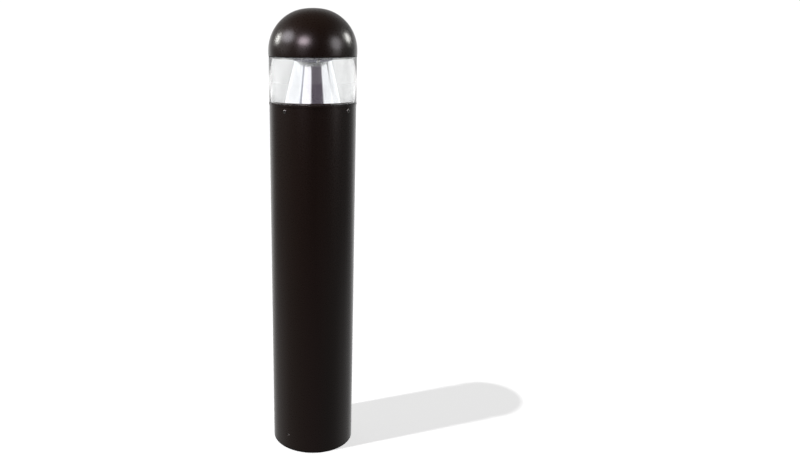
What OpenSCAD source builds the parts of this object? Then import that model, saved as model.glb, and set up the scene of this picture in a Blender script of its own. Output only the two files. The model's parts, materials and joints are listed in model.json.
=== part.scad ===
// Round dome-top lighted bollard: painted steel column on a cast anchor base,
// clear lens with a spun cone reflector, LED ring and driver, and a domed cap.
// Millimetres. Origin at the centre of the footprint on the ground, +Z up.

/* [Overall] */
// Height from the ground to the top of the dome
total_h = 1066.8; // [900:0.1:1400]
// Outside diameter of the column
column_d = 201.6; // [190:0.1:250]

/* [Column] */
// Wall of the column tube
column_wall = 4; // [3:0.1:6]
// Height of the base set screws above the ground
set_screw_z = 38.6; // [34:0.1:60]
// Distance of the collar screws below the column's top edge
collar_screw_drop = 10.2; // [8:0.1:30]
// Turn between the column and its spigot, radial clearance
spigot_clearance = 0.4; // [0.2:0.05:0.8]

/* [Anchor base] */
// Thickness of the rubber gasket under the base
base_gasket_t = 2.6; // [1.5:0.1:6]
// Thickness of the cast base plate
base_plate_t = 12; // [8:0.5:18]
// Height of the spigot ring above the ground
spigot_h = 78; // [70:1:120]
// Distance of the anchor bolt circle in from the column's outside
anchor_inset = 30.8; // [28:0.1:38]
// Anchor bolt hole diameter
anchor_hole_d = 11; // [9:0.5:14]
// Conduit opening diameter
conduit_d = 76; // [50:1:78]

/* [Head] */
// Straight skirt at the bottom of the dome
dome_skirt_h = 12; // [8:0.5:30]
// How much lower the crown is than the dome's own radius
crown_drop = 7.8; // [4:0.1:20]
// Crown radius beyond the dome's own radius
crown_extra = 48.4; // [30:0.1:120]
// Wall of the dome cap
dome_wall = 3.2; // [2.4:0.1:5]
// Overhang of the dome past the column, each side
dome_overhang = 0.8; // [0:0.1:3]
// Clear height between the collar rim and the dome, gaskets included
window_h = 103; // [90:0.5:180]
// Height of the collar's visible rim
rim_h = 4.4; // [3:0.1:12]
// Overhang of the collar rim past the column, each side
rim_overhang = 1.0; // [0:0.1:3]
// Depth of the collar skirt inside the column
collar_skirt_h = 50; // [36:1:90]

/* [Lens] */
// Wall of the clear lens
lens_wall = 5.2; // [3:0.1:7]
// Overhang of the lens past the column, each side
lens_overhang = 0.5; // [0:0.1:0.8]
// Thickness of each lens gasket
lens_gasket_t = 1; // [0.6:0.1:2]

/* [Reflector] */
// Width of the cone's foot flange
foot_flange_w = 22.8; // [18:0.1:28]
// Reach of the upper reflector, from the neck out to its flange
flare_reach = 21.8; // [16:0.1:24]
// Width of the upper reflector's flange
flare_flange_w = 10; // [9.6:0.1:14]
// Height of the neck below the head plate
neck_drop = 16; // [12:0.1:24]
// Sheet thickness of both reflectors
reflector_t = 1.2; // [0.8:0.1:2]

/* [LED ring] */
// Half the width of the LED board ring
board_half_w = 7.5; // [5:0.1:8]
// Number of LEDs on the ring
led_count = 24; // [12:6:30]
// Depth of the clear optic cover
optic_cover_h = 5; // [4.2:0.1:8]

/* [Driver] */
// Length of the LED driver case
driver_l = 150; // [100:1:220]
// Width of the LED driver case
driver_w = 60; // [40:1:66]
// Depth of the LED driver case
driver_t = 32; // [20:1:36]

/* [Hidden] */
$fn = 96;

BRONZE = "#2b2420";
BLACK = "#151515";
CAST = "#a8a9aa";
BRIGHT = "#dfe3e8";
SATIN = "#7d8088";
STAINLESS = "#c4c6c8";
DULL_STEEL = "#6d6c6a";
ACRYLIC = [0.86, 0.9, 0.92, 0.35];
GREEN = "#2f8a46";
cut = 1; // overshoot of every cutting solid past the face it opens

// Overall radii and heights
column_r = column_d / 2;
bore_r = column_r - column_wall;
dome_r = column_r + dome_overhang;
rim_r = column_r + rim_overhang;
lens_r = column_r + lens_overhang;
lens_bore_r = lens_r - lens_wall;
crown_h = dome_r - crown_drop;
crown_r = dome_r + crown_extra;
knuckle_r = (2 * crown_r * crown_h - crown_h * crown_h - dome_r * dome_r) / (2 * (crown_r - dome_r));
dome_z = total_h - dome_skirt_h - crown_h;
knuckle_z = dome_z + dome_skirt_h;
rim_z = dome_z - window_h;
column_top = rim_z - rim_h;
column_gap = 0.2;
column_z = base_gasket_t + column_gap;
column_chamfer = 0.6;

// Fasteners: shank radius, head radius, head height, hex socket radius, socket depth
M3 = [1.45, 2.8, 1.7, 1.15, 1.0];
M4 = [1.95, 3.8, 2.2, 1.45, 1.3];
M5 = [2.45, 4.75, 2.4, 1.75, 1.5];
SET_M8 = [3.95, 8];
hole_fit = 0.05; // threaded hole over its screw
pass_fit = 0.3; // clearance hole over its screw

// Anchor base
spigot_r = bore_r - spigot_clearance;
spigot_wall = 11.4;
spigot_bore_r = spigot_r - spigot_wall;
groove_depth = 5.7;
groove_r = spigot_r - groove_depth;
groove_half = 5;
base_plate_z = base_gasket_t;
base_top = base_plate_z + base_plate_t;
anchor_r = column_r - anchor_inset;
anchor_boss_r = min(14, spigot_bore_r - anchor_r);
anchor_boss_h = 6;
conduit_r = conduit_d / 2;
conduit_wall = 5;
conduit_lip_h = 12;
gasket_inset = 1;
ground_boss = [column_r - 38.8, 7, 10]; // place radius, boss radius, height over the plate
anchor_angles = [45, 135, 225, 315];
ground_screw_l = 12;

// Set screws bear in the spigot's groove
set_screw_angles = [225, 345, 105];
set_screw_gap = 0.3;
set_screw_in = groove_r + set_screw_gap;
socket_6 = 2.31;
set_socket_depth = 3.5;

// Collar
deck_under = 4; // deck thickness below the rim's underside
deck_z = column_top - deck_under;
skirt_clearance = 0.15;
skirt_r = bore_r - skirt_clearance;
skirt_wall = 5;
lens_clearance = 0.5;
lip_r = lens_bore_r - lens_clearance;
lip_wall = 4.6;
lip_h = 4.6;
deck_bore_r = 16;
collar_screw_z = column_top - collar_screw_drop;
collar_screw_angles = [45, 135, 225, 315];
spot_face_r = 5.3;
spot_face_depth = 0.8;
collar_screw_l = 10;

// Lens and gaskets
lens_z = rim_z + lens_gasket_t;
lens_h = window_h - 2 * lens_gasket_t;
gasket_r = lens_r - 0.3;
lens_edge = 0.5;

// Head plate and LED ring
plate_t = 5;
plate_z = dome_z;
plate_top = plate_z + plate_t;
plate_r = dome_r - dome_wall - 0.2;
plate_bore_r = 12;
board_t = 1.6;
board_z = plate_z - board_t;
cover_wall = 1.2;
cover_half_w = board_half_w + 0.3 + cover_wall;
cover_z = plate_z - optic_cover_h;
cover_clearance = 0.6; // to the lens
led_circle_r = lens_bore_r - cover_clearance - cover_half_w;
chip_w = 3.5;
chip_h = 0.7;
led_step = 360 / led_count;
ring_screw_count = 6;
ring_screw_l = optic_cover_h + 3.6;

// Reflectors
flange_t = 1.2;
flange_gap = 0.5; // to the optic cover
flange_r = led_circle_r - cover_half_w - flange_gap;
flare_r = flange_r - flare_flange_w;
cone_neck_r = flare_r - flare_reach;
neck_z = plate_z - neck_drop;
sleeve_gap = 0.25;
sleeve_h = 9;
cone_flange_r = lip_r - lip_wall - 1.4;
cone_foot_r = cone_flange_r - foot_flange_w;
reflector_screw_r = (cone_foot_r + cone_flange_r) / 2 + 1;
reflector_screw_angles = [30, 150, 270];
reflector_screw_l = 7;

// Dome screws, through the reflector's flange and the head plate into the dome
dome_screw_r = flare_r + flare_flange_w / 2;
dome_screw_angles = [20, 140, 260];
dome_screw_l = 20;
dome_boss_r = 6;
dome_boss_gap = 0.1;
dome_hole_depth = 18;

// Bonding lead on the upper reflector
flare_skin = 1.4;
flare_rise = neck_drop - flange_t - flare_skin;
flare_slope = atan2(flare_rise, flare_r - cone_neck_r);
bond_angle = 277;
bond_ring_r = 4;
bond_ring_t = 0.8;
bond_wire_r = 1.1;
bond_barrel_r = bond_wire_r + 0.4;
bond_barrel = [3, 7.2]; // start and end of the barrel from the ring's centre
bond_low = [cone_neck_r + 5.5, 0, neck_z + 5.5 * tan(flare_slope) - 0.02];
bond_high_r = dome_screw_r;
bond_high_angle = bond_angle + 7;

// Tie rods
tie_r = cone_neck_r - 15.2;
tie_angles = [30, 150, 270];
tie_rod_r = 3;
tie_hole_r = 3.3;
nut_r = 5.77;
nut_h = 5.2;
washer = [6.2, 1.2]; // radius, thickness
tie_low = deck_z - washer[1] - nut_h - 4;
tie_high = plate_top + washer[1] + nut_h + 3;

// Heat sink
sink_in_r = tie_r + 8;
sink_out_r = dome_screw_r - dome_boss_r - 3;
sink_base_t = 4;
fin_h = 30;
fin_t = 1.6;
fin_count = 24;
sink_screw_r = (sink_in_r + sink_out_r) / 2 + 3.5;
sink_screw_angles = [37.5, 127.5, 217.5, 307.5];

// LED cable: radius, and the angle midway between two fins
cable_r = 2;
cable_angle = 97.5;
cable_hole_r = 3;
grommet_lip = 2.2;

// Driver bracket, hanging from the collar's deck
bracket_t = 2;
bracket_w = 70;
bracket_y = 24;
bracket_flange = 30;
driver_top = deck_z - 60;
driver_bottom = driver_top - driver_l;
end_cap_t = 4;
block = [44, 14, 22]; // width, depth, height
block_top = driver_bottom - 18;
block_bottom = block_top - block[2];
bracket_bottom = block_bottom - 8;
driver_ear = 9;
surge = [40, 26, 52]; // width, depth, height
surge_bottom = driver_bottom + 40;
lead_r = 1.3;
lead_xs = [-12, 0, 12];
lead_gap = 0.03; // between a lead's end and the face it meets
ground_x = 29;
ground_z = block_bottom + 11;
ground_barrel_r = lead_r + 0.4;
ground_barrel = [4, 8.4]; // start and end of the barrel from the ring's centre

// ---------- shapes used more than once ----------

function polar(r, a, z) = [r * cos(a), r * sin(a), z];

// Catmull-Rom curve through the points of a route, n steps a span
function route(p, n) = [
    for (i = [0 : len(p) - 2])
        for (k = [0 : (i == len(p) - 2 ? n : n - 1)])
            let (t = k / n)
            let (a = p[max(i - 1, 0)], b = p[i], c = p[i + 1], d = p[min(i + 2, len(p) - 1)])
            0.5 * (2 * b + (c - a) * t + (2 * a - 5 * b + 4 * c - d) * t * t
                + (3 * b - a - 3 * c + d) * t * t * t)
];
function unit(v) = v / norm(v);
function along(p, i) = unit(p[min(i + 1, len(p) - 1)] - p[max(i - 1, 0)]);

// Round wire swept along points that lie roughly in one plane with normal side
module wire(p, r, side, n = 8) {
    rings = [
        for (i = [0 : len(p) - 1])
            let (t = along(p, i))
            let (u = unit(side - (side * t) * t))
            let (v = cross(t, u))
            for (j = [0 : n - 1]) p[i] + r * (cos(360 * j / n) * u + sin(360 * j / n) * v)
    ];
    last = (len(p) - 1) * n;
    polyhedron(
        points = rings,
        faces = concat(
            [[for (j = [0 : n - 1]) j]],
            [[for (j = [0 : n - 1]) last + n - 1 - j]],
            [for (i = [0 : len(p) - 2]) for (j = [0 : n - 1])
                let (a = i * n + j, b = i * n + (j + 1) % n)
                [a, a + n, b + n, b]]
        )
    );
}

module ring(r_out, r_in, z, h) {
    translate([0, 0, z])
        difference() {
            cylinder(r = r_out, h = h);
            translate([0, 0, -cut]) cylinder(r = r_in, h = h + 2 * cut);
        }
}

module revolve(points) {
    rotate_extrude() polygon(points);
}

module at(r, angles, z = 0) {
    for (a = angles) rotate([0, 0, a]) translate([r, 0, z]) children();
}

// Points its child's +Z away from the axis
module outward() {
    rotate([0, 90, 0]) children();
}

module through(r, z, h) {
    translate([0, 0, z - cut]) cylinder(r = r, h = h + 2 * cut);
}

// Button-head screw, seat at z = 0, shank down
module button_screw(size, length) {
    difference() {
        union() {
            translate([0, 0, -length]) cylinder(r = size[0], h = length + 0.2);
            revolve([
                [0, 0], [size[1], 0], [size[1], size[2] * 0.25],
                for (a = [15 : 15 : 75])
                    [size[1] * cos(a), size[2] * (0.25 + 0.75 * sin(a))],
                [size[1] * 0.2, size[2]], [0, size[2]]
            ]);
        }
        translate([0, 0, size[2] - size[4]]) cylinder(r = size[3], h = size[4] + cut, $fn = 6);
    }
}

// Screw with its head hanging below z = 0 and its shank up
module button_screw_up(size, length) {
    mirror([0, 0, 1]) button_screw(size, length);
}

// ---------- base ----------

module base_gasket() {
    color(BLACK)
        difference() {
            ring(column_r - 0.2, conduit_r + 8, 0, base_gasket_t);
            at(anchor_r, anchor_angles) through(anchor_hole_d / 2 + gasket_inset, 0, base_gasket_t);
        }
}

module anchor_base() {
    groove_low = set_screw_z - groove_half;
    groove_high = set_screw_z + groove_half;
    lead_in = 2;
    upper_bore_r = spigot_bore_r + 5;
    upper_z = groove_high + 12;
    color(CAST)
        difference() {
            union() {
                revolve([
                    [conduit_r, base_plate_z],
                    [spigot_r, base_plate_z],
                    [spigot_r, groove_low],
                    [groove_r, groove_low],
                    [groove_r, groove_high],
                    [spigot_r, groove_high],
                    [spigot_r, spigot_h - lead_in],
                    [spigot_r - lead_in / 2, spigot_h],
                    [upper_bore_r, spigot_h],
                    [upper_bore_r, upper_z],
                    [spigot_bore_r, upper_z - 5],
                    [spigot_bore_r, base_top],
                    [conduit_r + conduit_wall, base_top],
                    [conduit_r + conduit_wall, base_top + conduit_lip_h],
                    [conduit_r, base_top + conduit_lip_h]
                ]);
                at(anchor_r, anchor_angles, base_top - cut) cylinder(r = anchor_boss_r, h = anchor_boss_h + cut);
                at(ground_boss[0], [0], base_top - cut) cylinder(r = ground_boss[1], h = ground_boss[2] + cut);
            }
            at(anchor_r, anchor_angles) through(anchor_hole_d / 2, base_plate_z, base_plate_t + anchor_boss_h);
            at(ground_boss[0], [0], base_top + ground_boss[2] - ground_screw_l - 1)
                cylinder(r = M5[0] + hole_fit, h = ground_screw_l + 2);
        }
}

module base_ground_washer() {
    color(STAINLESS)
        at(ground_boss[0], [0]) ring(6, M5[0] + pass_fit, base_top + ground_boss[2], 1.2);
}

module base_ground_screw() {
    color(GREEN)
        at(ground_boss[0], [0], base_top + ground_boss[2] + 1.2) button_screw(M5, ground_screw_l);
}

// ---------- column ----------

module column() {
    color(BRONZE)
        difference() {
            revolve([
                [bore_r, column_z],
                [column_r - column_chamfer, column_z],
                [column_r, column_z + column_chamfer],
                [column_r, column_top - column_chamfer],
                [column_r - column_chamfer, column_top],
                [bore_r, column_top]
            ]);
            at(0, set_screw_angles, set_screw_z)
                outward() translate([0, 0, bore_r - cut]) cylinder(r = SET_M8[0] + hole_fit, h = column_wall + 2 * cut);
            at(0, collar_screw_angles, collar_screw_z)
                outward() {
                    translate([0, 0, bore_r - cut]) cylinder(r = M5[0] + pass_fit, h = column_wall + 2 * cut);
                    translate([0, 0, column_r - spot_face_depth]) cylinder(r = spot_face_r, h = spot_face_depth + cut);
                }
        }
}

module base_set_screws() {
    tip = 0.8;
    color(STAINLESS)
        at(0, set_screw_angles, set_screw_z)
            outward()
                translate([0, 0, set_screw_in])
                    difference() {
                        revolve([
                            [0, 0], [SET_M8[0] - tip, 0], [SET_M8[0], tip],
                            [SET_M8[0], SET_M8[1] - tip / 2], [SET_M8[0] - tip / 2, SET_M8[1]], [0, SET_M8[1]]
                        ]);
                        translate([0, 0, SET_M8[1] - set_socket_depth])
                            cylinder(r = socket_6, h = set_socket_depth + cut, $fn = 6);
                    }
}

// ---------- collar and lens ----------

module head_collar() {
    lip_in = lip_r - lip_wall;
    rim_edge = 0.8;
    color(BRONZE)
        difference() {
            revolve([
                [deck_bore_r, deck_z],
                [skirt_r - skirt_wall, deck_z],
                [skirt_r - skirt_wall, column_top - collar_skirt_h],
                [skirt_r - 1, column_top - collar_skirt_h],
                [skirt_r, column_top - collar_skirt_h + 2],
                [skirt_r, column_top],
                [rim_r - rim_edge / 2, column_top],
                [rim_r, column_top + rim_edge / 2],
                [rim_r, rim_z - rim_edge],
                [rim_r - rim_edge, rim_z],
                [lip_r, rim_z],
                [lip_r, rim_z + lip_h - rim_edge],
                [lip_r - rim_edge, rim_z + lip_h],
                [lip_in, rim_z + lip_h],
                [lip_in, rim_z],
                [deck_bore_r, rim_z]
            ]);
            at(tie_r, tie_angles) through(tie_hole_r, deck_z, rim_z - deck_z);
            at(reflector_screw_r, reflector_screw_angles, rim_z - reflector_screw_l)
                cylinder(r = M4[0] + hole_fit, h = reflector_screw_l + cut);
            at(0, collar_screw_angles, collar_screw_z)
                outward() translate([0, 0, skirt_r - skirt_wall - cut])
                    cylinder(r = M5[0] + hole_fit, h = skirt_wall + 2 * cut);
            bracket_screw_places() translate([0, 0, deck_z - cut]) cylinder(r = M5[0] + hole_fit, h = 6 + cut);
        }
}

module collar_screws() {
    color(DULL_STEEL)
        at(0, collar_screw_angles, collar_screw_z)
            outward() translate([0, 0, column_r - spot_face_depth]) button_screw(M5, collar_screw_l);
}

module lens_gasket(z) {
    color(BLACK) ring(gasket_r, lens_bore_r + 0.1, z, lens_gasket_t);
}

module lens_bottom_gasket() {
    lens_gasket(rim_z);
}

module lens_top_gasket() {
    lens_gasket(dome_z - lens_gasket_t);
}

module lens() {
    top = lens_z + lens_h;
    color(ACRYLIC)
        revolve([
            [lens_bore_r, lens_z],
            [lens_r - lens_edge, lens_z],
            [lens_r, lens_z + lens_edge],
            [lens_r, top - lens_edge],
            [lens_r - lens_edge, top],
            [lens_bore_r, top]
        ]);
}

// ---------- reflectors ----------

module cone_reflector() {
    foot_z = rim_z + reflector_t;
    color(BRIGHT)
        difference() {
            revolve([
                [cone_foot_r - reflector_t, rim_z],
                [cone_flange_r, rim_z],
                [cone_flange_r, foot_z],
                [cone_foot_r, foot_z],
                [cone_neck_r, neck_z],
                [cone_neck_r - reflector_t, neck_z]
            ]);
            at(reflector_screw_r, reflector_screw_angles) through(M4[0] + pass_fit, rim_z, reflector_t);
        }
}

module reflector_screws() {
    color(STAINLESS)
        at(reflector_screw_r, reflector_screw_angles, rim_z + reflector_t)
            button_screw(M4, reflector_screw_l);
}

module upper_reflector() {
    sleeve_r = cone_neck_r - reflector_t - sleeve_gap;
    under = plate_z - flange_t;
    color(SATIN)
        difference() {
            revolve([
                [sleeve_r - reflector_t, neck_z - sleeve_h],
                [sleeve_r, neck_z - sleeve_h],
                [sleeve_r, neck_z],
                [cone_neck_r, neck_z],
                [flare_r, under - flare_skin],
                [flare_r, under],
                [flange_r, under],
                [flange_r, plate_z],
                [flare_r - 2 * flare_skin, plate_z],
                [flare_r - 2 * flare_skin, under],
                [cone_neck_r - 2 * flare_skin, neck_z + flare_skin],
                [sleeve_r - reflector_t, neck_z]
            ]);
            at(dome_screw_r, dome_screw_angles) through(M5[0] + pass_fit, under, flange_t);
            at(bond_high_r, [bond_high_angle]) through(M3[0] + hole_fit, under, flange_t);
            bond_low_place() translate([0, 0, -5]) cylinder(r = M3[0] + hole_fit, h = 8);
        }
}

// Frame on the flare's outer face, +Z away from the sheet
module bond_low_place() {
    rotate([0, 0, bond_angle])
        translate(bond_low)
            rotate([0, 180 - flare_slope, 0])
                children();
}

module bond_high_place() {
    rotate([0, 0, bond_high_angle])
        translate([bond_high_r, 0, plate_z - flange_t])
            mirror([0, 0, 1])
                children();
}

module bond_terminal(toward) {
    difference() {
        union() {
            cylinder(r = bond_ring_r, h = bond_ring_t);
            rotate([0, 0, toward])
                translate([bond_barrel[0], 0, bond_barrel_r])
                    outward() cylinder(r = bond_barrel_r, h = bond_barrel[1] - bond_barrel[0]);
        }
        translate([0, 0, -cut]) cylinder(r = M3[0] + pass_fit, h = bond_ring_t + 4);
    }
}

module bond_terminals() {
    color(STAINLESS) {
        bond_low_place() bond_terminal(180);
        bond_high_place() bond_terminal(90);
    }
}

module bond_screws() {
    color(STAINLESS) {
        bond_low_place() translate([0, 0, bond_ring_t]) button_screw(M3, 4);
        bond_high_place() translate([0, 0, bond_ring_t]) button_screw(M3, 4);
    }
}

module bond_lead() {
    normal = [sin(flare_slope), 0, -cos(flare_slope)];
    uphill = [cos(flare_slope), 0, sin(flare_slope)];
    low = bond_low + bond_barrel_r * normal + bond_barrel[1] * uphill;
    turn = bond_high_angle - bond_angle;
    // the high barrel lies along the flange, square to its own radius
    away = [sin(turn), -cos(turn), 0];
    high = polar(bond_high_r, turn, plate_z - flange_t - bond_barrel_r) + bond_barrel[1] * away;
    color(BLACK)
        rotate([0, 0, bond_angle])
            wire(
                route([
                    low + lead_gap * uphill,
                    low + uphill,
                    low + 2 * uphill,
                    [high[0] - 3, high[1] - 3.4, high[2] - 2.6],
                    high + 1.6 * away,
                    high + 0.8 * away,
                    high + lead_gap * away
                ], 4),
                bond_wire_r, [0.5, 0.5, 1]
            );
}

// ---------- LED ring ----------

module ring_screw_places(z) {
    for (k = [0 : ring_screw_count - 1])
        rotate([0, 0, (k + 0.5 / ring_screw_count) * 360 / ring_screw_count + led_step / 2 - 5])
            translate([led_circle_r, 0, z])
                children();
}

module led_board() {
    color("#26282b")
        difference() {
            ring(led_circle_r + board_half_w, led_circle_r - board_half_w, board_z, board_t);
            ring_screw_places(0) through(M3[0] + pass_fit, board_z, board_t);
        }
}

module led_chips() {
    color("#f2d24a")
        for (k = [0 : led_count - 1])
            rotate([0, 0, k * led_step])
                translate([led_circle_r - chip_w / 2, -chip_w / 2, board_z - chip_h])
                    cube([chip_w, chip_w, chip_h]);
}

module led_optic_cover() {
    color(ACRYLIC)
        difference() {
            ring(led_circle_r + cover_half_w, led_circle_r - cover_half_w, cover_z, optic_cover_h);
            ring(
                led_circle_r + cover_half_w - cover_wall, led_circle_r - cover_half_w + cover_wall,
                cover_z + cover_wall, optic_cover_h
            );
            ring_screw_places(0) through(M3[0] + pass_fit, cover_z, cover_wall);
        }
}

module led_ring_screws() {
    color(STAINLESS) ring_screw_places(cover_z) button_screw_up(M3, ring_screw_l);
}

// ---------- head ----------

module head_plate() {
    color(CAST)
        difference() {
            ring(plate_r, plate_bore_r, plate_z, plate_t);
            at(tie_r, tie_angles) through(tie_hole_r, plate_z, plate_t);
            at(dome_screw_r, dome_screw_angles) through(M5[0] + pass_fit, plate_z, plate_t);
            at(led_circle_r, [cable_angle]) through(cable_hole_r, plate_z, plate_t);
            at(sink_screw_r, sink_screw_angles, plate_z + 1) cylinder(r = M4[0] + hole_fit, h = plate_t);
            ring_screw_places(plate_z - cut) cylinder(r = M3[0] + hole_fit, h = 4 + cut);
            at(bond_high_r, [bond_high_angle], plate_z - cut) cylinder(r = M3[0] + hole_fit, h = 3.4 + cut);
        }
}

module heat_sink() {
    color(CAST)
        difference() {
            union() {
                ring(sink_out_r, sink_in_r, plate_top, sink_base_t);
                for (k = [0 : fin_count - 1])
                    rotate([0, 0, k * 360 / fin_count])
                        translate([sink_in_r + 2, -fin_t / 2, plate_top + sink_base_t - 0.5])
                            cube([sink_out_r - sink_in_r - 3, fin_t, fin_h + 0.5]);
            }
            at(sink_screw_r, sink_screw_angles) through(M4[0] + pass_fit, plate_top, sink_base_t);
        }
}

module heat_sink_screws() {
    color(STAINLESS)
        at(sink_screw_r, sink_screw_angles, plate_top + sink_base_t)
            button_screw(M4, sink_base_t + plate_t - 1);
}

// Solid dome: straight skirt, knuckle arc and crown arc, shrunk inward by inset
module dome_solid(inset, low) {
    knuckle_x = dome_r - knuckle_r;
    crown_z = total_h - crown_r;
    meet = atan2(knuckle_z - crown_z, knuckle_x);
    steps = 12;
    revolve([
        [0, low],
        [dome_r - inset, low],
        for (k = [0 : steps])
            [knuckle_x + (knuckle_r - inset) * cos(meet * k / steps),
                knuckle_z + (knuckle_r - inset) * sin(meet * k / steps)],
        for (k = [1 : steps - 1])
            let (a = meet + (90 - meet) * k / steps)
            [(crown_r - inset) * cos(a), crown_z + (crown_r - inset) * sin(a)],
        [0, crown_z + crown_r - inset]
    ]);
}

module dome_cap() {
    color(BRONZE)
        difference() {
            union() {
                difference() {
                    dome_solid(0, dome_z);
                    dome_solid(dome_wall, dome_z - cut);
                }
                intersection() {
                    dome_solid(dome_wall / 2, dome_z);
                    at(dome_screw_r, dome_screw_angles, plate_top + dome_boss_gap)
                        cylinder(r = dome_boss_r, h = crown_h);
                }
            }
            at(dome_screw_r, dome_screw_angles, plate_top - cut)
                cylinder(r = M5[0] + hole_fit, h = dome_hole_depth + cut);
        }
}

module dome_screws() {
    color(STAINLESS)
        at(dome_screw_r, dome_screw_angles, plate_z - flange_t) button_screw_up(M5, dome_screw_l);
}

// ---------- tie rods ----------

module tie_rods() {
    color(STAINLESS)
        at(tie_r, tie_angles, tie_low) cylinder(r = tie_rod_r, h = tie_high - tie_low);
}

module tie_rod_nuts() {
    color(STAINLESS)
        at(tie_r, tie_angles)
            for (z = [deck_z - washer[1] - nut_h, plate_top + washer[1]])
                translate([0, 0, z])
                    difference() {
                        cylinder(r = nut_r, h = nut_h, $fn = 6);
                        translate([0, 0, -cut]) cylinder(r = tie_rod_r + hole_fit, h = nut_h + 2 * cut);
                    }
}

module tie_rod_washers() {
    color(STAINLESS)
        at(tie_r, tie_angles)
            for (z = [deck_z - washer[1], plate_top]) ring(washer[0], tie_hole_r, z, washer[1]);
}

// ---------- cable and grommets ----------

module grommet(r, z, t) {
    bore = cable_r + 0.6;
    color(BLACK)
        revolve([
            [bore, z - grommet_lip], [r + 2, z - grommet_lip], [r + 2, z], [r, z], [r, z + t],
            [r + 2, z + t], [r + 2, z + t + grommet_lip], [bore, z + t + grommet_lip]
        ]);
}

module head_plate_grommet() {
    grommet(plate_bore_r, plate_z, plate_t);
}

module deck_grommet() {
    grommet(deck_bore_r, deck_z, rim_z - deck_z);
}

module led_cable() {
    over_fins = plate_top + sink_base_t + cable_r + 2.5;
    a = cable_angle;
    color(BLACK)
        wire(
            route([
                polar(led_circle_r, a, plate_z + 0.3),
                polar(led_circle_r, a, plate_top + 3),
                polar(led_circle_r - 5, a, over_fins + 1),
                polar(sink_out_r, a, over_fins + 1),
                polar(sink_in_r, a, over_fins),
                polar(16, a, over_fins + 2),
                polar(6, a, over_fins + 1),
                polar(0.8, a, plate_top + 5),
                polar(0, a, plate_top),
                polar(0, a, plate_z - 12),
                polar(0, a, neck_z - 30),
                polar(0, a, rim_z + 12),
                polar(0, a, deck_z - 4),
                polar(0, a, deck_z - 12),
                [0, 4, driver_top + 26],
                [0, 8, driver_top + end_cap_t]
            ], 4),
            cable_r, polar(1, a + 90, 0)
        );
}

// ---------- driver and wiring ----------

module bracket_screw_places() {
    for (x = [-22, 22]) translate([x, bracket_y + bracket_t + bracket_flange / 2 + 2, 0]) children();
}

module on_bracket_front(x, z) {
    translate([x, bracket_y, z]) rotate([90, 0, 0]) children();
}

module driver_screw_places() {
    for (x = [-18, 18], z = [driver_bottom - end_cap_t - driver_ear / 2, driver_top + end_cap_t + driver_ear / 2])
        on_bracket_front(x, z) children();
}

module surge_screw_places() {
    for (z = [surge_bottom - 5, surge_bottom + surge[2] + 5])
        translate([0, bracket_y + bracket_t, z]) rotate([-90, 0, 0]) children();
}

module driver_bracket() {
    color("#b9bcbf")
        difference() {
            union() {
                translate([-bracket_w / 2, bracket_y, bracket_bottom])
                    cube([bracket_w, bracket_t, deck_z - bracket_bottom]);
                translate([-bracket_w / 2, bracket_y, deck_z - bracket_t])
                    cube([bracket_w, bracket_t + bracket_flange, bracket_t]);
            }
            bracket_screw_places() through(M5[0] + pass_fit, deck_z - bracket_t, bracket_t);
            driver_screw_places() translate([0, 0, -bracket_t - cut]) cylinder(r = M4[0] + hole_fit, h = bracket_t + 2 * cut);
            surge_screw_places() translate([0, 0, -bracket_t - cut]) cylinder(r = M3[0] + hole_fit, h = bracket_t + 2 * cut);
            block_screw_places() translate([0, 0, -bracket_t - cut]) cylinder(r = M3[0] + hole_fit, h = bracket_t + 2 * cut);
            on_bracket_front(ground_x, ground_z)
                translate([0, 0, -bracket_t - cut]) cylinder(r = M4[0] + hole_fit, h = bracket_t + 2 * cut);
        }
}

module bracket_screws() {
    color(STAINLESS)
        bracket_screw_places() translate([0, 0, deck_z - bracket_t]) button_screw_up(M5, bracket_t + 5);
}

module led_driver() {
    edge = 3;
    color("#d5d8da")
        translate([0, bracket_y - driver_t / 2, driver_bottom])
            linear_extrude(driver_l)
                difference() {
                    square([driver_w, driver_t], center = true);
                    for (x = [-1, 1], y = [-1, 1])
                        translate([x * driver_w / 2, y * driver_t / 2]) circle(r = edge);
                }
}

module driver_end_cap() {
    difference() {
        union() {
            translate([-driver_w / 2, bracket_y - driver_t, 0]) cube([driver_w, driver_t, end_cap_t]);
            translate([-driver_w / 2, bracket_y - 2, 0]) cube([driver_w, 2, end_cap_t + driver_ear]);
        }
        for (x = [-18, 18])
            translate([x, bracket_y - 4, end_cap_t + driver_ear / 2])
                rotate([-90, 0, 0]) cylinder(r = M4[0] + pass_fit, h = 5);
        for (x = lead_xs) translate([x, bracket_y - block[1] / 2, -cut]) cylinder(r = lead_r + 0.05, h = end_cap_t + 2 * cut);
        translate([0, 8, -cut]) cylinder(r = cable_r + 0.2, h = end_cap_t + 2 * cut);
    }
}

module driver_end_caps() {
    color("#3a3c3e") {
        translate([0, 0, driver_top]) driver_end_cap();
        translate([0, 0, driver_bottom]) mirror([0, 0, 1]) driver_end_cap();
    }
}

module driver_screws() {
    color(STAINLESS) driver_screw_places() translate([0, 0, 2]) button_screw(M4, 2 + bracket_t + 2);
}

module surge_protector() {
    y = bracket_y + bracket_t;
    color("#1d1f22")
        difference() {
            union() {
                translate([-surge[0] / 2, y, surge_bottom]) cube(surge);
                translate([-8, y, surge_bottom - 10]) cube([16, 2.5, surge[2] + 20]);
            }
            surge_screw_places() translate([0, 0, -cut]) cylinder(r = M3[0] + pass_fit, h = 2.5 + 2 * cut);
        }
}

module surge_screws() {
    color(STAINLESS) surge_screw_places() translate([0, 0, 2.5]) button_screw(M3, 2.5 + bracket_t - 0.2);
}

module block_screw_places() {
    for (x = [-1, 1]) on_bracket_front(x * (block[0] / 2 - 3), (block_top + block_bottom) / 2) children();
}

module terminal_screw_places() {
    for (x = lead_xs, z = [block_bottom + 5, block_top - 5]) on_bracket_front(x, z) children();
}

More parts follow.
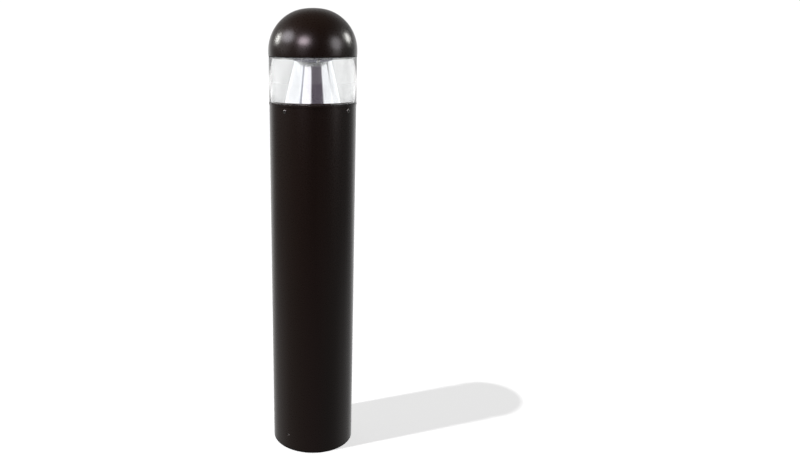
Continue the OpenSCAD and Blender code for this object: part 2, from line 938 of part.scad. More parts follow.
module terminal_block() {
    color("#e8e6de")
        difference() {
            translate([-block[0] / 2, bracket_y - block[1], block_bottom]) cube(block);
            block_screw_places() through(M3[0] + pass_fit, 0, block[1]);
            terminal_screw_places() translate([0, 0, block[1] - 4]) cylinder(r = 2.4, h = 4 + cut);
            for (x = lead_xs)
                translate([x, bracket_y - block[1] / 2, block_bottom - cut])
                    cylinder(r = lead_r + 0.3, h = block[2] + 2 * cut);
        }
}

module terminal_screws() {
    color(STAINLESS)
        terminal_screw_places()
            translate([0, 0, block[1] - 4])
                difference() {
                    cylinder(r = 2.3, h = 2.5);
                    translate([-3, -0.3, 1.7]) cube([6, 0.6, 1]);
                }
}

module block_screws() {
    color(STAINLESS) block_screw_places() translate([0, 0, block[1]]) button_screw(M3, block[1] + bracket_t + 1);
}

module driver_leads() {
    color("#8d2b25")
        for (x = lead_xs)
            translate([x, bracket_y - block[1] / 2, block_top - 6])
                cylinder(r = lead_r, h = driver_bottom - block_top + 6);
}

module surge_leads() {
    back_y = bracket_y + bracket_t + surge[1] / 2;
    front_y = bracket_y - block[1] / 2;
    low = bracket_bottom - 9;
    color("#2c3f7a")
        for (x = [lead_xs[0], lead_xs[2]])
            wire(
                route([
                    [x, back_y, surge_bottom],
                    [x, back_y, surge_bottom - 12],
                    [x, back_y, bracket_bottom + 6],
                    [x, back_y - 3, bracket_bottom - 4],
                    [x, (back_y + front_y) / 2, low],
                    [x, front_y, bracket_bottom + 1],
                    [x, front_y, block_bottom - 1],
                    [x, front_y, block_bottom + 6]
                ], 4),
                lead_r, [1, 0, 0]
            );
}

module ground_terminal() {
    color(STAINLESS)
        on_bracket_front(ground_x, ground_z)
            difference() {
                union() {
                    cylinder(r = 4.4, h = 0.8);
                    translate([0, ground_barrel[0], ground_barrel_r])
                        rotate([-90, 0, 0]) cylinder(r = ground_barrel_r, h = ground_barrel[1] - ground_barrel[0]);
                }
                translate([0, 0, -cut]) cylinder(r = M4[0] + pass_fit, h = 4);
            }
}

module ground_screw() {
    color(GREEN) on_bracket_front(ground_x, ground_z) translate([0, 0, 0.8]) button_screw(M4, 0.8 + bracket_t + 2);
}

module ground_lead() {
    y = bracket_y - ground_barrel_r;
    start_z = ground_z + ground_barrel[1];
    cap_z = driver_bottom - end_cap_t;
    color(GREEN)
        wire(
            route([
                [ground_x, y, start_z + lead_gap],
                [ground_x, y, start_z + 1.5],
                [ground_x, y, start_z + 3],
                [ground_x - 2, y - 5, start_z + 8.3],
                [24, y - 10, cap_z - 3],
                [24, y - 10, cap_z - 1.5],
                [24, y - 10, cap_z - lead_gap]
            ], 4),
            lead_r, [1, 0.5, 0]
        );
}

base_gasket();
anchor_base();
base_ground_screw();
base_ground_washer();
column();
base_set_screws();
head_collar();
collar_screws();
lens_bottom_gasket();
lens();
lens_top_gasket();
cone_reflector();
reflector_screws();
upper_reflector();
bond_terminals();
bond_screws();
bond_lead();
led_board();
led_chips();
led_optic_cover();
led_ring_screws();
head_plate();
heat_sink();
heat_sink_screws();
dome_cap();
dome_screws();
tie_rods();
tie_rod_nuts();
tie_rod_washers();
head_plate_grommet();
deck_grommet();
led_cable();
driver_bracket();
bracket_screws();
led_driver();
driver_end_caps();
driver_screws();
surge_protector();
surge_screws();
terminal_block();
terminal_screws();
block_screws();
driver_leads();
surge_leads();
ground_screw();
ground_terminal();
ground_lead();
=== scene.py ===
import json
import math

import bpy
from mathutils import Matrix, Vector

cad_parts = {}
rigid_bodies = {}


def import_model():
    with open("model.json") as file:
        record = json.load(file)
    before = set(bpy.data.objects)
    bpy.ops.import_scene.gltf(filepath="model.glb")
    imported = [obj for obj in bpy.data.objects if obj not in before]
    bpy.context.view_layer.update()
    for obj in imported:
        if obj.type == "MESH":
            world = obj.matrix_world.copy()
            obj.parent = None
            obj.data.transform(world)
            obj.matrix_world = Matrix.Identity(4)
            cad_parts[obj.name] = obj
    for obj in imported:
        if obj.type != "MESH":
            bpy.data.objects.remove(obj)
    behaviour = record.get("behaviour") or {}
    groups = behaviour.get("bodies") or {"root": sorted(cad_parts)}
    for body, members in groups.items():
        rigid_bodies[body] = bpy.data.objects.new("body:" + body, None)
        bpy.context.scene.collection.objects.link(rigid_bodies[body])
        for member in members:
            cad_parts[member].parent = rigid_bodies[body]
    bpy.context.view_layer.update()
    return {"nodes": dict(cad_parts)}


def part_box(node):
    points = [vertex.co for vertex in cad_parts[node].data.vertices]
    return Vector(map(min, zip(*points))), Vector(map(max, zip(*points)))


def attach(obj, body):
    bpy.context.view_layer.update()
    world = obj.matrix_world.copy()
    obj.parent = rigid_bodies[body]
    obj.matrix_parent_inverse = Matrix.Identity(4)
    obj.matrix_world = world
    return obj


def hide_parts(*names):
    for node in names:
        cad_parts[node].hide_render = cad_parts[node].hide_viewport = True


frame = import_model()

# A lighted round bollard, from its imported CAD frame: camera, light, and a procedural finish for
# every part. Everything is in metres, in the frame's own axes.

# ---------- where the camera stands ----------

CAMERA_TURN = math.radians(-6.9)     # round the bollard, 0 looks along +Y
CAMERA_DISTANCE = 1.687              # level distance from the bollard's axis
CAMERA_HEIGHT = 1.007
CAMERA_PITCH = math.radians(15.05)   # below level
CAMERA_LENS_MM = 32.31
CAMERA_SENSOR_MM = 36.0
CAMERA_SHIFT_X = 0.109
CAMERA_CLIP = (0.05, 200.0)

FORWARD = Vector((-math.sin(CAMERA_TURN), math.cos(CAMERA_TURN), 0.0))
RIGHT = Vector((math.cos(CAMERA_TURN), math.sin(CAMERA_TURN), 0.0))
UP = Vector((0.0, 0.0, 1.0))


def make_camera():
    data = bpy.data.cameras.new("Camera")
    data.lens = CAMERA_LENS_MM
    data.sensor_width = CAMERA_SENSOR_MM
    data.shift_x = CAMERA_SHIFT_X
    data.clip_start, data.clip_end = CAMERA_CLIP
    data.dof.use_dof = False
    camera = bpy.data.objects.new("Camera", data)
    camera.location = -CAMERA_DISTANCE * FORWARD + CAMERA_HEIGHT * UP
    camera.rotation_euler = (math.pi / 2 - CAMERA_PITCH, 0.0, CAMERA_TURN)
    bpy.context.scene.collection.objects.link(camera)
    bpy.context.scene.camera = camera


# ---------- node helpers ----------


def put(socket, value):
    """Links a socket or sets a plain value on an input."""
    if isinstance(value, bpy.types.NodeSocket):
        socket.id_data.links.new(value, socket)
    else:
        socket.default_value = value


def add(tree, kind, settings=None, **inputs):
    """A new shader node: settings are its own properties, inputs are values or sockets by name."""
    made = tree.nodes.new("ShaderNode" + kind)
    for name, value in (settings or {}).items():
        setattr(made, name, value)
    for name, value in inputs.items():
        put(made.inputs[name.replace("_", " ")], value)
    return made


def maths(tree, operation, a, b):
    made = add(tree, "Math", {"operation": operation})
    put(made.inputs[0], a)
    put(made.inputs[1], b)
    return made.outputs[0]


def ramp(tree, value, stops):
    """A float or colour ramp: stops are (position, grey level) or (position, (r, g, b))."""
    made = add(tree, "ValToRGB", Fac=value)
    elements = made.color_ramp.elements
    while len(elements) < len(stops):
        elements.new(0.5)
    for element, (position, level) in zip(elements, stops):
        element.position = position
        rgb = level if isinstance(level, tuple) else (level, level, level)
        element.color = (*rgb, 1.0)
    return made.outputs["Color"]


def spread(tree, value, low, high):
    """Maps a 0 to 1 value to low to high."""
    return add(tree, "MapRange", Value=value, To_Min=low, To_Max=high).outputs["Result"]


def noise(tree, where, scale, detail=3.0, roughness=0.55):
    made = add(tree, "TexNoise", Vector=where, Scale=scale, Detail=detail, Roughness=roughness)
    return made.outputs["Fac"]


def mix(tree, factor, a, b, blend="MIX"):
    """Mixes two colours."""
    made = add(tree, "Mix", {"data_type": "RGBA", "blend_type": blend, "clamp_factor": True})
    put(made.inputs["Factor"], factor)
    for name, value in (("A", a), ("B", b)):
        socket = [s for s in made.inputs if s.name == name and s.type == "RGBA"][0]
        put(socket, (*value, 1.0) if isinstance(value, tuple) else value)
    return [s for s in made.outputs if s.type == "RGBA"][0]


def scaled(colour, factor):
    return tuple(c * factor for c in colour)


def empty_tree(owner):
    """The cleared node tree of a material, world or light."""
    owner.use_nodes = True
    owner.node_tree.nodes.clear()
    return owner.node_tree


def new_material(name):
    """A material with one Principled shader, its tree, and the object's coordinates in metres."""
    material = bpy.data.materials.new(name)
    tree = empty_tree(material)
    shader = add(tree, "BsdfPrincipled")
    add(tree, "OutputMaterial", Surface=shader.outputs[0])
    where = add(tree, "TexCoord").outputs["Object"]
    return material, tree, shader, where


def bump(tree, shader, height, distance, strength):
    made = add(tree, "Bump", Height=height, Distance=distance, Strength=strength)
    put(shader.inputs["Normal"], made.outputs["Normal"])


# ---------- finishes ----------

PAINT = (0.0370, 0.0195, 0.0130)
METAL_SHADE = 0.12    # how far a bare metal's tone strays from its colour


def bronze_paint():
    """Satin dark-bronze powder coat: faint orange peel, fine flake and slow clouds of tone."""
    material, tree, shader, where = new_material("bronze_paint")
    clouds = noise(tree, where, 7.0, 2.0)
    flake = add(tree, "TexVoronoi", Vector=where, Scale=1800.0).outputs["Color"]
    grey_flake = add(tree, "SeparateColor", Color=flake).outputs["Red"]
    base = mix(tree, clouds, scaled(PAINT, 0.90), scaled(PAINT, 1.10))
    base = mix(tree, spread(tree, grey_flake, 0.0, 0.15), base, scaled(PAINT, 1.6))
    put(shader.inputs["Base Color"], base)
    shader.inputs["Specular IOR Level"].default_value = 0.5
    put(shader.inputs["Roughness"], spread(tree, noise(tree, where, 260.0), 0.25, 0.31))
    peel = noise(tree, where, 520.0, 2.0)
    bump(tree, shader, peel, 0.00001, 0.20)
    return material


def rubber():
    """Black rubber with a dull, faintly dusty skin."""
    material, tree, shader, where = new_material("rubber")
    dust = noise(tree, where, 140.0, 4.0)
    put(shader.inputs["Base Color"], mix(tree, dust, (0.010, 0.010, 0.011), (0.022, 0.021, 0.021)))
    put(shader.inputs["Roughness"], spread(tree, noise(tree, where, 420.0), 0.52, 0.72))
    shader.inputs["Specular IOR Level"].default_value = 0.4
    bump(tree, shader, noise(tree, where, 900.0, 2.0), 0.00004, 0.5)
    return material


def metal(name, colour, rough, grain, depth):
    """Bare metal: colour, lowest and highest roughness, grain per metre and its depth in metres."""
    material, tree, shader, where = new_material(name)
    tone = noise(tree, where, grain * 0.18, 3.0)
    dark, pale = scaled(colour, 1 - METAL_SHADE), scaled(colour, 1 + METAL_SHADE)
    put(shader.inputs["Base Color"], mix(tree, tone, dark, pale))
    shader.inputs["Metallic"].default_value = 1.0
    put(shader.inputs["Roughness"], spread(tree, noise(tree, where, grain * 0.5), *rough))
    bump(tree, shader, noise(tree, where, grain, 4.0, 0.6), depth, 0.6)
    return material


def cast_aluminium():
    """Sand-cast aluminium: grained skin, with pits."""
    material, tree, shader, where = new_material("cast_aluminium")
    skin = noise(tree, where, 380.0, 5.0, 0.6)
    pits = add(tree, "TexVoronoi", Vector=where, Scale=520.0).outputs["Distance"]
    pit = ramp(tree, pits, [(0.0, 0.0), (0.22, 1.0)])
    tone = mix(tree, skin, (0.40, 0.40, 0.41), (0.56, 0.56, 0.57))
    put(shader.inputs["Base Color"], mix(tree, pit, (0.26, 0.26, 0.27), tone))
    shader.inputs["Metallic"].default_value = 1.0
    put(shader.inputs["Roughness"], spread(tree, noise(tree, where, 200.0), 0.42, 0.60))
    bump(tree, shader, maths(tree, "ADD", skin, pit), 0.00012, 0.5)
    return material


def polished_aluminium():
    """Spun and polished reflector sheet: fine lathe rings round the axis and a soft mirror."""
    material, tree, shader, where = new_material("polished_aluminium")
    rings = add(tree, "TexWave", {"wave_type": "BANDS", "bands_direction": "Z"}, Vector=where,
                Scale=260.0, Distortion=0.6, Detail=2.0)
    haze = noise(tree, where, 34.0, 3.0)
    put(shader.inputs["Base Color"], mix(tree, haze, (0.86, 0.87, 0.89), (0.92, 0.93, 0.94)))
    shader.inputs["Metallic"].default_value = 1.0
    put(shader.inputs["Roughness"], spread(tree, noise(tree, where, 150.0), 0.10, 0.15))
    bump(tree, shader, rings.outputs["Fac"], 0.000004, 0.25)
    return material


def satin_aluminium():
    """The cast upper reflector: a duller, mottled mirror. Its near-black, blue-tinted base colour
    is a painted reflection of dark surroundings.
    """
    material, tree, shader, where = new_material("satin_aluminium")
    mottle = noise(tree, where, 160.0, 4.0, 0.6)
    # painted reflection: the near-black to dark grey base colour paints the flare's dark
    # reflections into the metal's own colour
    put(shader.inputs["Base Color"], mix(tree, mottle, (0.03, 0.03, 0.05), (0.30, 0.29, 0.34)))
    shader.inputs["Metallic"].default_value = 1.0
    put(shader.inputs["Roughness"], spread(tree, mottle, 0.10, 0.22))
    bump(tree, shader, mottle, 0.0004, 0.8)
    return material


def clear_acrylic():
    """Clear acrylic, faintly smoky, that lets lamplight through to what is behind it."""
    material, tree, shader, where = new_material("clear_acrylic")
    tint = mix(tree, noise(tree, where, 12.0), (0.858, 0.863, 0.863), (0.870, 0.875, 0.875))
    put(shader.inputs["Base Color"], tint)
    put(shader.inputs["Roughness"], spread(tree, noise(tree, where, 60.0), 0.0, 0.012))
    shader.inputs["IOR"].default_value = 1.49
    shader.inputs["Transmission Weight"].default_value = 1.0
    clear = add(tree, "BsdfTransparent", Color=(0.86, 0.87, 0.87, 1.0))
    shadow = add(tree, "LightPath").outputs["Is Shadow Ray"]
    both = add(tree, "MixShader", Fac=shadow)
    put(both.inputs[1], shader.outputs[0])
    put(both.inputs[2], clear.outputs[0])
    out = [n for n in tree.nodes if n.type == "OUTPUT_MATERIAL"][0]
    put(out.inputs["Surface"], both.outputs[0])
    return material


def galvanised_steel():
    """Zinc-coated sheet with its spangle of crystals."""
    material, tree, shader, where = new_material("galvanised_steel")
    crystal = add(tree, "TexVoronoi", Vector=where, Scale=170.0).outputs["Color"]
    grey = add(tree, "SeparateColor", Color=crystal).outputs["Red"]
    put(shader.inputs["Base Color"], mix(tree, grey, (0.42, 0.44, 0.45), (0.62, 0.64, 0.65)))
    shader.inputs["Metallic"].default_value = 1.0
    put(shader.inputs["Roughness"], spread(tree, grey, 0.30, 0.50))
    bump(tree, shader, noise(tree, where, 600.0), 0.00003, 0.4)
    return material


def moulded(name, colour, rough, grain=700.0):
    """Moulded plastic or cable insulation: colour and lowest and highest roughness."""
    material, tree, shader, where = new_material(name)
    tone = noise(tree, where, grain * 0.1, 3.0)
    put(shader.inputs["Base Color"], mix(tree, tone, scaled(colour, 0.88), scaled(colour, 1.10)))
    put(shader.inputs["Roughness"], spread(tree, noise(tree, where, grain * 0.5), *rough))
    bump(tree, shader, noise(tree, where, grain, 2.0), 0.00003, 0.4)
    return material


FINISHES = {
    "bronze_paint": bronze_paint(),
    "rubber": rubber(),
    "cast_aluminium": cast_aluminium(),
    "polished_aluminium": polished_aluminium(),
    "satin_aluminium": satin_aluminium(),
    "clear_acrylic": clear_acrylic(),
    "stainless": metal("stainless", (0.60, 0.59, 0.57), (0.20, 0.34), 1400.0, 0.000010),
    "tinned_copper": metal("tinned_copper", (0.66, 0.65, 0.63), (0.25, 0.40), 1600.0, 0.000010),
    "galvanised_steel": galvanised_steel(),
    "ground_green": metal("ground_green", (0.05, 0.30, 0.11), (0.30, 0.42), 1500.0, 0.000010),
    "driver_case": metal("driver_case", (0.34, 0.35, 0.36), (0.38, 0.50), 900.0, 0.000020),
    "dull_stainless": metal("dull_stainless", (0.13, 0.125, 0.12), (0.30, 0.42), 1400.0, 0.000010),
    "dark_plastic": moulded("dark_plastic", (0.028, 0.029, 0.031), (0.38, 0.55)),
    "white_plastic": moulded("white_plastic", (0.72, 0.71, 0.67), (0.35, 0.50)),
    # painted shade: the near-black board colour paints the shade under the head onto the LED board
    "dark_board": moulded("dark_board", (0.030, 0.031, 0.034), (0.30, 0.42)),
    "led_phosphor": moulded("led_phosphor", (0.86, 0.72, 0.22), (0.30, 0.45), 1800.0),
    "black_wire": moulded("black_wire", (0.016, 0.016, 0.017), (0.35, 0.48), 1500.0),
    "red_wire": moulded("red_wire", (0.42, 0.035, 0.025), (0.35, 0.48), 1500.0),
    "blue_wire": moulded("blue_wire", (0.03, 0.07, 0.36), (0.35, 0.48), 1500.0),
    "green_wire": moulded("green_wire", (0.03, 0.26, 0.07), (0.35, 0.48), 1500.0),
}


def finish_cad_nodes():
    for node in frame["nodes"].values():
        for slot in node.material_slots:
            slot.material = FINISHES[slot.material.name.split(".")[0]]


# ---------- turned pieces that need rounder surfaces than their CAD nodes ----------

TURNED_STEPS = 256
CORNER = math.radians(30.0)    # edges sharper than this stay sharp
ON_AXIS = 1e-9                 # a smaller radius counts as the axis itself
EDGE_STEPS = 4                 # segments in a small edge round


def arc(centre, radius, start, end, steps):
    """Points of an arc in the radius and height plane, angles in degrees from level."""
    angles = [math.radians(start + (end - start) * i / steps) for i in range(steps + 1)]
    return [(centre[0] + radius * math.cos(a), centre[1] + radius * math.sin(a)) for a in angles]


def turned(outline):
    """Vertices and faces of an outline of (radius, height) turned round the Z axis. The outline is
    closed, or open where both its ends are on the axis."""
    verts, rings = [], []
    turns = [2 * math.pi * i / TURNED_STEPS for i in range(TURNED_STEPS)]
    for radius, height in outline:
        if radius < ON_AXIS:
            rings.append([len(verts)] * TURNED_STEPS)
            verts.append((0.0, 0.0, height))
        else:
            rings.append(list(range(len(verts), len(verts) + TURNED_STEPS)))
            verts += [(radius * math.cos(t), radius * math.sin(t), height) for t in turns]
    pairs = list(zip(rings, rings[1:] + rings[:1]))
    if outline[0][0] < ON_AXIS:
        pairs.pop()
    faces = []
    for low, high in pairs:
        for i in range(TURNED_STEPS):
            j = (i + 1) % TURNED_STEPS
            corners = [low[i], low[j], high[j], high[i]]
            faces.append([c for k, c in enumerate(corners) if c != corners[k - 1]])
    return verts, faces


def make_piece(name, verts, faces, body, slot, node):
    """A smooth-shaded piece that stands for a CAD node and takes its finish."""
    mesh = bpy.data.meshes.new(name)
    mesh.from_pydata(verts, [], faces)
    mesh.validate()
    mesh.shade_smooth()
    mesh.set_sharp_from_angle(angle=CORNER)
    mesh.materials.append(FINISHES[slot])
    piece = bpy.data.objects.new(name, mesh)
    bpy.context.scene.collection.objects.link(piece)
    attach(piece, body)
    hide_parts(node)


def inner_radius(node):
    return min(math.hypot(v.co.x, v.co.y) for v in frame["nodes"][node].data.vertices)


LENS_EDGE = 0.0004    # round on the lens tube's rims


def make_lens():
    low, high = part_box("lens")
    r = LENS_EDGE
    inner, outer = inner_radius("lens") + r, high.x - r
    foot, top = low.z + r, high.z - r
    outline = []
    corners = [((outer, foot), -90), ((outer, top), 0), ((inner, top), 90), ((inner, foot), 180)]
    for centre, start in corners:
        outline += arc(centre, r, start, start + 90, EDGE_STEPS)
    make_piece("lens_tube", *turned(outline), "head", "clear_acrylic", "lens")


SHEET = 0.0012            # reflector sheet
CONE_TOP = 0.0452         # outer radius at the cone's top
CONE_FOOT = 0.0668        # outer radius where the cone meets its foot flange
FOOT_BEND = 0.0010
FLARE_FOOT = 0.0452       # the upper reflector's flare, inner and outer ends
FLARE_RIM = 0.0670
FLARE_HEIGHT = 0.0134
SLEEVE_HEIGHT = 0.0090
SLEEVE_RADIUS = 0.0438


def make_cone():
    """The cone reflector: a spun sheet with a flat foot flange."""
    low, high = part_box("cone_reflector")
    flange_top = low.z + SHEET
    outline = [(high.x, low.z), (high.x, flange_top), (CONE_FOOT + FOOT_BEND, flange_top),
               (CONE_FOOT, flange_top + FOOT_BEND), (CONE_TOP, high.z), (CONE_TOP - SHEET, high.z),
               (CONE_FOOT - SHEET, low.z)]
    make_piece("cone_sheet", *turned(outline), "head", "polished_aluminium", "cone_reflector")


def make_upper_reflector():
    """The upper reflector: a sleeve in the cone's top, a flare, a flange under the head plate."""
    low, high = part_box("upper_reflector")
    seat = low.z + SLEEVE_HEIGHT
    flare_top = seat + FLARE_HEIGHT
    flange = high.z - SHEET
    outline = [(SLEEVE_RADIUS, low.z), (SLEEVE_RADIUS, seat), (FLARE_FOOT, seat),
               (FLARE_RIM, flare_top), (FLARE_RIM, flange), (high.x, flange), (high.x, high.z),
               (FLARE_RIM - 2 * SHEET, high.z), (FLARE_RIM - 2 * SHEET, flange),
               (SLEEVE_RADIUS - SHEET, seat + SHEET), (SLEEVE_RADIUS - SHEET, low.z)]
    make_piece("upper_reflector_sheet", *turned(outline), "head", "satin_aluminium",
               "upper_reflector")


DOME_SKIRT = 0.012
DOME_CROWN = 0.150    # radius of the crown
DOME_WALL = 0.0032
DOME_LIP = 0.0024     # round under the skirt's outer edge
DOME_INNER_LIP = 0.0006
KNUCKLE_STEPS, CROWN_STEPS, LIP_STEPS = 36, 24, 8


def knuckle_radius(rim, rise, crown):
    """Radius of the arc that runs from the upright skirt into the crown without a corner."""
    return (crown ** 2 - rim ** 2 - (rise - crown) ** 2) / (2 * (crown - rim))


def dome_arcs(low, high, inset):
    """The dome's two arcs, from the skirt's top to the axis, inset from its outer face."""
    rim, spring = high.x, low.z + DOME_SKIRT
    knuckle = knuckle_radius(rim, high.z - spring, DOME_CROWN)
    centre, crown_centre = (rim - knuckle, spring), (0.0, high.z - DOME_CROWN)
    meet = math.degrees(math.atan2(centre[1] - crown_centre[1], centre[0] - crown_centre[0]))
    sides = arc(centre, knuckle - inset, 0, meet, KNUCKLE_STEPS)
    crown = arc(crown_centre, DOME_CROWN - inset, meet, 90, CROWN_STEPS)
    return sides + crown[1:-1] + [(0.0, high.z - inset)]


def make_dome():
    low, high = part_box("dome_cap")
    lip, inner_lip = DOME_LIP, DOME_INNER_LIP
    outer = arc((high.x - lip, low.z + lip), lip, -90, 0, LIP_STEPS)
    inner_centre = (high.x - DOME_WALL + inner_lip, low.z + inner_lip)
    inner = arc(inner_centre, inner_lip, 270, 180, EDGE_STEPS)
    outline = (inner + dome_arcs(low, high, DOME_WALL))[::-1] + outer + dome_arcs(low, high, 0.0)
    make_piece("dome_shell", *turned(outline), "head", "bronze_paint", "dome_cap")


# ---------- studio ----------

FLOOR_HALF = 40.0
FLOOR_GAP = 0.0002
FLOOR_GLOW = 0.70
FLOOR_WHITE = 0.80


def make_floor():
    """A pale floor that glows a little, so that its shadows stay soft and light."""
    material = bpy.data.materials.new("stage_floor")
    tree = empty_tree(material)
    matt = add(tree, "BsdfDiffuse", Color=(FLOOR_WHITE, FLOOR_WHITE, FLOOR_WHITE, 1.0))
    glow = add(tree, "Emission", Color=(1.0, 1.0, 1.0, 1.0), Strength=FLOOR_GLOW)
    both = add(tree, "AddShader")
    put(both.inputs[0], matt.outputs[0])
    put(both.inputs[1], glow.outputs[0])
    add(tree, "OutputMaterial", Surface=both.outputs[0])
    mesh = bpy.data.meshes.new("stage_floor")
    quarters = ((-1, -1), (1, -1), (1, 1), (-1, 1))
    corners = [(x * FLOOR_HALF, y * FLOOR_HALF, -FLOOR_GAP) for x, y in quarters]
    mesh.from_pydata(corners, [], [(0, 1, 2, 3)])
    mesh.materials.append(material)
    floor = bpy.data.objects.new("stage_floor", mesh)
    bpy.context.scene.collection.objects.link(floor)
    floor.visible_glossy = False
    floor.visible_diffuse = False


# The room that the bollard reflects. Sweep runs from 0 on the camera's side to 1 behind the
# bollard, height is the sine of the angle above level.
BACKDROP = (1.02, 1.02, 1.02)    # what the camera itself sees
ROOM_WALL = [(0.0, (0.032, 0.016, 0.016)), (0.07, (0.034, 0.018, 0.018)),
             (0.18, (0.065, 0.050, 0.048)), (0.33, 0.10), (0.52, 0.12), (0.73, 0.17), (0.82, 0.42),
             (0.93, 1.1)]
ROOM_FLOOR = [(0.0, (0.17, 0.145, 0.155)), (0.07, (0.17, 0.145, 0.155)), (0.18, 0.17), (0.33, 0.20),
              (0.52, 0.34), (0.73, 0.42), (0.82, 0.52), (0.93, 1.0)]
FLOOR_STARTS, FLOOR_FULL = -0.25, -0.40                                        # by height
ROOM_FADE = [(0.0, 1.0), (0.10, 0.95), (0.25, 0.45), (0.47, 0.14), (0.8, 0.06)]    # by height
FLANKS = [(0.25, 0.0), (0.50, 0.15), (0.75, 0.27), (1.0, 0.36)]                # by sweep
FLANK_FADE = [(0.30, 0.0), (0.50, 1.0), (0.85, 0.3)]                           # by height


def make_world():
    """White to the camera, and for every other ray a room bright behind and dark in front."""
    world = bpy.data.worlds.new("studio")
    bpy.context.scene.world = world
    tree = empty_tree(world)
    direction = add(tree, "TexCoord").outputs["Generated"]
    ahead = add(tree, "VectorMath", {"operation": "DOT_PRODUCT"})
    put(ahead.inputs[0], direction)
    put(ahead.inputs[1], FORWARD)
    sweep = maths(tree, "MULTIPLY_ADD", ahead.outputs["Value"], 0.5)
    sweep.node.inputs[2].default_value = 0.5
    height = add(tree, "SeparateXYZ", Vector=direction).outputs["Z"]
    below = add(tree, "MapRange", Value=height, From_Min=FLOOR_STARTS, From_Max=FLOOR_FULL)
    wall, floor = ramp(tree, sweep, ROOM_WALL), ramp(tree, sweep, ROOM_FLOOR)
    room = mix(tree, below.outputs["Result"], wall, floor)
    lit = mix(tree, 1.0, room, ramp(tree, height, ROOM_FADE), "MULTIPLY")
    flanks = mix(tree, 1.0, ramp(tree, sweep, FLANKS), ramp(tree, height, FLANK_FADE), "MULTIPLY")
    lit = mix(tree, 1.0, lit, flanks, "ADD")
    seen = add(tree, "LightPath").outputs["Is Camera Ray"]
    colour = mix(tree, seen, lit, BACKDROP)
    background = add(tree, "Background", Color=colour, Strength=1.0)
    add(tree, "OutputWorld", Surface=background.outputs[0])


SUN_POWER = 1.25
SUN_SPREAD = math.radians(1.0)
SUN_HEIGHT = math.radians(62.0)
SUN_ACROSS, SUN_AHEAD = 0.940, 0.341   # the way its light travels, level


def make_sun():
    data = bpy.data.lights.new("key_sun", "SUN")
    data.energy = SUN_POWER
    data.angle = SUN_SPREAD
    sun = bpy.data.objects.new("key_sun", data)
    level = SUN_ACROSS * RIGHT + SUN_AHEAD * FORWARD
    travel = math.cos(SUN_HEIGHT) * level - math.sin(SUN_HEIGHT) * UP
    sun.rotation_mode = "QUATERNION"
    sun.rotation_quaternion = travel.to_track_quat("-Z", "Y")
    sun.visible_glossy = False
    bpy.context.scene.collection.objects.link(sun)


# Softboxes, kept out of the camera's sight and of diffuse light: turn from the camera's side
# (right is positive), height above level, width and height as seen, all in degrees, then radiance
# and colour. They fade towards their edges. These light all but what is at or inside the lens.
SOFTBOX_DISTANCE = 2.2
SOFTBOX_AIM = 0.95
SOFTBOXES = {
    "left_edge": (-108, 20, 15, 17, 24.0, (1.00, 1.00, 0.96)),
    "left_wide": (-76, 31, 38, 26, 7.5, (0.96, 0.93, 1.00)),
    "left_low": (-76, 5, 42, 16, 0.60, (1.00, 0.96, 0.98)),
    "left_round": (-24, 27, 28, 21, 17.0, (1.00, 0.86, 0.96)),
    "round_low": (-27, 4, 32, 14, 0.85, (1.00, 0.92, 0.94)),
    "right_fill": (40, -12, 66, 56, 0.065, (1.00, 0.78, 0.70)),
    "right_wide": (63, 18, 32, 30, 5.0, (0.98, 0.95, 1.00)),
    "right_low": (62, 3, 28, 18, 1.20, (1.00, 0.97, 0.97)),
    "right_edge": (109, 21, 15, 16, 24.0, (1.00, 1.00, 0.96)),
}
# Taller boxes that only light what is at or inside the lens
INNER_BOXES = {
    "inner_left": (-105, 22, 103, 60, 1.5, (0.99, 0.99, 1.00)),
    "inner_gap": (-51.5, 22, 20, 60, 0.42, (0.94, 0.95, 1.13)),
    "inner_round": (-27, 22, 41, 60, 1.7, (1.00, 0.97, 1.00)),
    "inner_front": (20, 22, 68, 60, 0.12, (1.08, 0.90, 1.14)),
    "inner_right": (69, 22, 47, 60, 1.5, (0.99, 0.99, 1.00)),
    "inner_far": (122, 22, 70, 60, 1.4, (0.99, 0.99, 1.00)),
}
SOFTBOX_CORE = 0.72   # share of a box's half width that is at full strength


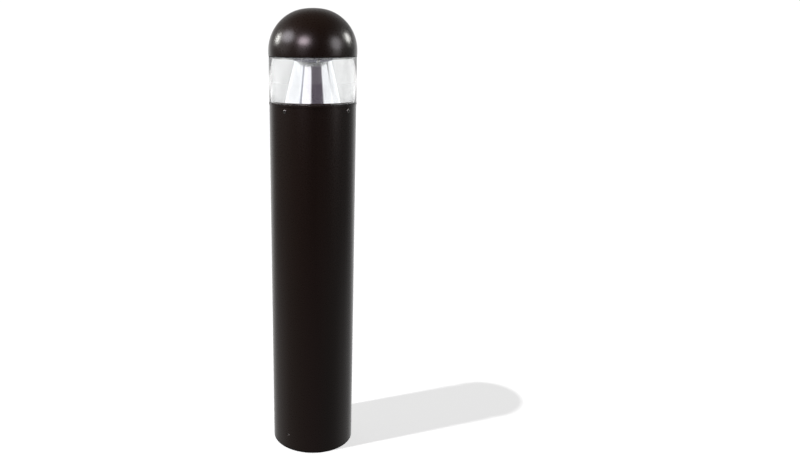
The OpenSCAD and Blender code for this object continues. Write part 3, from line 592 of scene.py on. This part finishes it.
def fade_edges(data):
    """Dims an area light from its core to its outline, as a diffuser's edge does."""
    tree = empty_tree(data)
    place = add(tree, "NewGeometry").outputs["Parametric"]
    centred = add(tree, "VectorMath", {"operation": "SUBTRACT"})
    put(centred.inputs[0], place)
    put(centred.inputs[1], (0.5, 0.5, 0.0))
    flat = add(tree, "VectorMath", {"operation": "MULTIPLY"})
    put(flat.inputs[0], centred.outputs[0])
    put(flat.inputs[1], (2.0, 2.0, 0.0))
    out_from_centre = add(tree, "VectorMath", {"operation": "LENGTH"})
    put(out_from_centre.inputs[0], flat.outputs[0])
    strength = add(tree, "MapRange", {"interpolation_type": "SMOOTHSTEP"},
                   Value=out_from_centre.outputs["Value"], From_Min=SOFTBOX_CORE, From_Max=1.0,
                   To_Min=1.0, To_Max=0.0)
    glow = add(tree, "Emission", Strength=strength.outputs["Result"])
    add(tree, "OutputLight", Surface=glow.outputs[0])


INSIDE_LENS = ("lens_tube", "cone_sheet", "upper_reflector_sheet", "led_optic_cover", "led_board",
               "led_chips", "led_ring_screws", "reflector_screws", "bond_terminals", "bond_screws",
               "bond_lead")


def split_receivers():
    """Two collections of meshes to light: what is at or inside the lens, and the rest."""
    inside = bpy.data.collections.new("inside_lens")
    outside = bpy.data.collections.new("outside_lens")
    for thing in bpy.context.scene.objects:
        if thing.type == "MESH":
            (inside if thing.name in INSIDE_LENS else outside).objects.link(thing)
    return inside, outside


def make_softbox(name, turn, height, wide, tall, radiance, colour, lit):
    turn, height, wide, tall = map(math.radians, (turn, height, wide, tall))
    level = math.sin(turn) * RIGHT - math.cos(turn) * FORWARD
    away = math.cos(height) * level + math.sin(height) * UP
    data = bpy.data.lights.new(name, "AREA")
    data.shape = "RECTANGLE"
    data.size = 2 * SOFTBOX_DISTANCE * math.tan(wide / 2)
    data.size_y = 2 * SOFTBOX_DISTANCE * math.tan(tall / 2)
    data.energy = radiance * math.pi * data.size * data.size_y
    data.color = colour
    fade_edges(data)
    box = bpy.data.objects.new(name, data)
    box.location = SOFTBOX_AIM * UP + SOFTBOX_DISTANCE * away
    box.rotation_mode = "QUATERNION"
    box.rotation_quaternion = (-away).to_track_quat("-Z", "Y")
    box.visible_camera = False
    box.visible_diffuse = False
    box.light_linking.receiver_collection = lit
    bpy.context.scene.collection.objects.link(box)


make_camera()
make_world()
make_floor()
make_sun()
finish_cad_nodes()
make_lens()
make_cone()
make_upper_reflector()
make_dome()
inside, outside = split_receivers()
for softbox, facts in SOFTBOXES.items():
    make_softbox(softbox, *facts, outside)
for softbox, facts in INNER_BOXES.items():
    make_softbox(softbox, *facts, inside)
bpy.context.scene.view_settings.view_transform = "Standard"
